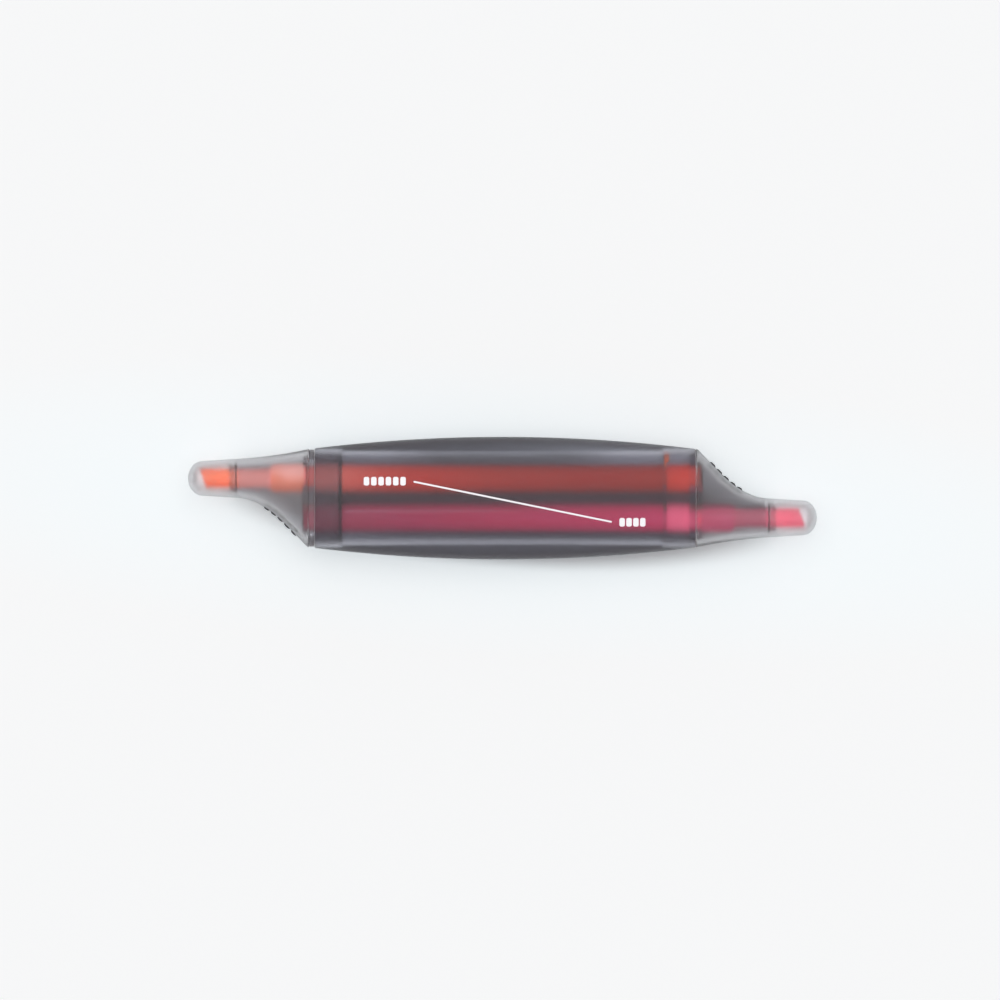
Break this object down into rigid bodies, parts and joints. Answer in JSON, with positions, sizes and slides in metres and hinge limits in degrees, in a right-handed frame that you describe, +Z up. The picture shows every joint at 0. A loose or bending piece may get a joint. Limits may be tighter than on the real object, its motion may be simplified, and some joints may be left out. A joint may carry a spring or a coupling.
{
  "type": "twin-colour highlighter",
  "caption": "Flat highlighter with two inks side by side in one smoked translucent barrel and a chisel nib at either end, each under a slim offset pull-off cap.",
  "frame": {"origin": "on the table under the middle of the pen, at the bottom centre of its box", "axes": "+X along the pen towards the pink nib, +Y across it towards the orange nib's side, +Z up from the flat underside"},
  "size_m": [0.14, 0.0272, 0.0127],
  "materials": {
    "smoked_shell": "smoked translucent polypropylene, lightly frosted",
    "smoked_cap": "smoked translucent polypropylene, frosted",
    "natural_liner": "natural polyethylene",
    "smoked_guide": "smoked translucent polypropylene",
    "orange_core": "ink-soaked polyester fibre",
    "pink_core": "ink-soaked polyester fibre",
    "orange_film": "thin clear film stained by the ink",
    "pink_film": "thin clear film stained by the ink",
    "orange_nib": "bonded polyester fibre, ink-soaked",
    "pink_nib": "bonded polyester fibre, ink-soaked"
  },
  "bodies": {
    "barrel": {"barrel": "smoked_shell", "orange_end_plug": "smoked_shell", "pink_end_plug": "smoked_shell", "orange_rod_guide": "smoked_guide", "pink_rod_guide": "smoked_guide", "orange_reservoir_core": "orange_core", "pink_reservoir_core": "pink_core", "orange_reservoir_film": "orange_film", "pink_reservoir_film": "pink_film", "orange_nib": "orange_nib", "pink_nib": "pink_nib"},
    "orange_cap": {"orange_cap": "smoked_cap", "orange_cap_liner": "natural_liner"},
    "pink_cap": {"pink_cap": "smoked_cap", "pink_cap_liner": "natural_liner"}
  },
  "joints": [
    {"name": "orange_cap_pull", "type": "slide", "parent": "barrel", "child": "orange_cap", "axis": [-1, 0, 0], "range_m": [0, 0.036]},
    {"name": "pink_cap_pull", "type": "slide", "parent": "barrel", "child": "pink_cap", "axis": [1, 0, 0], "range_m": [0, 0.036]}
  ]
}
